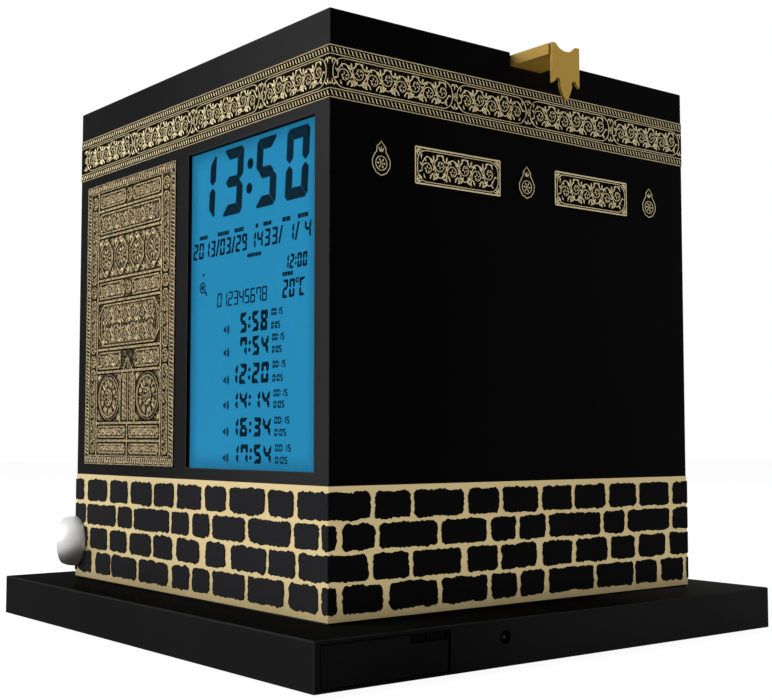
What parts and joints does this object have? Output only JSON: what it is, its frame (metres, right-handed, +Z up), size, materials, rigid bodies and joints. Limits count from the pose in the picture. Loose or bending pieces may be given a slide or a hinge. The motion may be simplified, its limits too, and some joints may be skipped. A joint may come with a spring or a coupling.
{
  "type": "azan clock",
  "caption": "Cube-shaped azan alarm clock on a square slab, with a display and door relief in front, gold bands, a rain spout, a round corner button and a pull-out key drawer",
  "frame": {"origin": "centre of the base, on the plane the feet stand on", "axes": "+X to the side with the rain spout and the key drawer, +Y from the display face to the back, +Z up"},
  "size_m": [0.207, 0.1986, 0.1955],
  "materials": {
    "gloss_black": "polished dark shell",
    "slab_black": "polished dark slab",
    "inner_black": "fine moulded texture",
    "mortar_gold": "gold foil",
    "belt_gold": "gold foil printed on black",
    "door_gold": "gold foil printed on black",
    "trim_gold": "gold plating",
    "spout_gold": "satin gold plating",
    "clear_lens": "clear polished",
    "blue_display": "lit blue with dark segments",
    "white_plastic": "milky",
    "grey_rubber": "striped conductive rubber",
    "key_rubber": "soft matte",
    "foot_rubber": "matte",
    "board_green": "solder mask",
    "chip_black": "moulded",
    "jack_black": "moulded",
    "painted_steel": "black lacquer",
    "magnet_steel": "dull zinc",
    "cone_paper": "pressed paper",
    "screw_steel": "zinc plated",
    "contact_nickel": "nickel plated",
    "cell_sleeve": "shrink sleeve",
    "satin_silver": "satin silver lacquer",
    "stone_black": "polished"
  },
  "bodies": {
    "clock": {"cube_housing": "gloss_black", "cube_screws": "screw_steel", "stone_band": "mortar_gold", "belt_front": "belt_gold", "belt_back": "belt_gold", "belt_right": "belt_gold", "belt_left": "belt_gold", "door_relief": "door_gold", "display_lens": "clear_lens", "lcd_panel": "blue_display", "light_guide": "white_plastic", "backlight_strip": "white_plastic", "zebra_strips": "grey_rubber", "display_frame": "inner_black", "frame_screws": "screw_steel", "board_screws": "screw_steel", "main_board": "board_green", "board_parts": "chip_black", "speaker_frame": "painted_steel", "speaker_cone": "cone_paper", "speaker_magnet": "magnet_steel", "speaker_screws": "screw_steel", "rain_spout": "spout_gold", "spout_beard": "spout_gold", "side_panel_front": "trim_gold", "side_panel_rear": "trim_gold", "side_drop_front": "trim_gold", "side_drop_middle": "trim_gold", "side_drop_rear": "trim_gold", "slab_shell": "slab_black", "base_plate": "inner_black", "base_screws": "screw_steel", "foot_front_left": "foot_rubber", "foot_front_right": "foot_rubber", "foot_rear_left": "foot_rubber", "foot_rear_right": "foot_rubber", "battery_cells": "cell_sleeve", "battery_springs": "contact_nickel", "battery_contacts": "contact_nickel", "power_jack": "jack_black", "jack_pin": "contact_nickel", "button_collar": "inner_black", "button_board": "board_green", "button_switch": "chip_black", "button_spring": "contact_nickel"},
    "corner_button": {"stone_button": "satin_silver", "dark_stone": "stone_black"},
    "drawer": {"key_drawer": "slab_black", "key_board": "board_green", "drawer_screws": "screw_steel"},
    "set_key": {"set_key": "key_rubber"},
    "mode_key": {"mode_key": "key_rubber"},
    "down_key": {"down_key": "key_rubber"},
    "up_key": {"up_key": "key_rubber"},
    "city_key": {"city_key": "key_rubber"},
    "alarm_key": {"alarm_key": "key_rubber"},
    "battery_cover": {"battery_cover": "inner_black"}
  },
  "joints": [
    {"name": "corner_button_press", "type": "slide", "parent": "clock", "child": "corner_button", "axis": [0.7071, 0.7071, 0], "range_m": [0, 0.0005], "stiffness_N_per_m": 1500, "springref_m": -0.0005},
    {"name": "drawer_slide", "type": "slide", "parent": "clock", "child": "drawer", "axis": [1, 0, 0], "range_m": [0, 0.036]},
    {"name": "set_key_press", "type": "slide", "parent": "drawer", "child": "set_key", "axis": [0, 0, -1], "range_m": [0, 0.0006], "stiffness_N_per_m": 800, "springref_m": -0.0005},
    {"name": "mode_key_press", "type": "slide", "parent": "drawer", "child": "mode_key", "axis": [0, 0, -1], "range_m": [0, 0.0006], "stiffness_N_per_m": 800, "springref_m": -0.0005},
    {"name": "down_key_press", "type": "slide", "parent": "drawer", "child": "down_key", "axis": [0, 0, -1], "range_m": [0, 0.0006], "stiffness_N_per_m": 800, "springref_m": -0.0005},
    {"name": "up_key_press", "type": "slide", "parent": "drawer", "child": "up_key", "axis": [0, 0, -1], "range_m": [0, 0.0006], "stiffness_N_per_m": 800, "springref_m": -0.0005},
    {"name": "city_key_press", "type": "slide", "parent": "drawer", "child": "city_key", "axis": [0, 0, -1], "range_m": [0, 0.0006], "stiffness_N_per_m": 800, "springref_m": -0.0005},
    {"name": "alarm_key_press", "type": "slide", "parent": "drawer", "child": "alarm_key", "axis": [0, 0, -1], "range_m": [0, 0.0006], "stiffness_N_per_m": 800, "springref_m": -0.0005},
    {"name": "battery_cover_hinge", "type": "hinge", "parent": "clock", "child": "battery_cover", "pos_m": [-0.014, 0.0462, 0.0015], "axis": [1, 0, 0], "range_deg": [0, 60]}
  ]
}
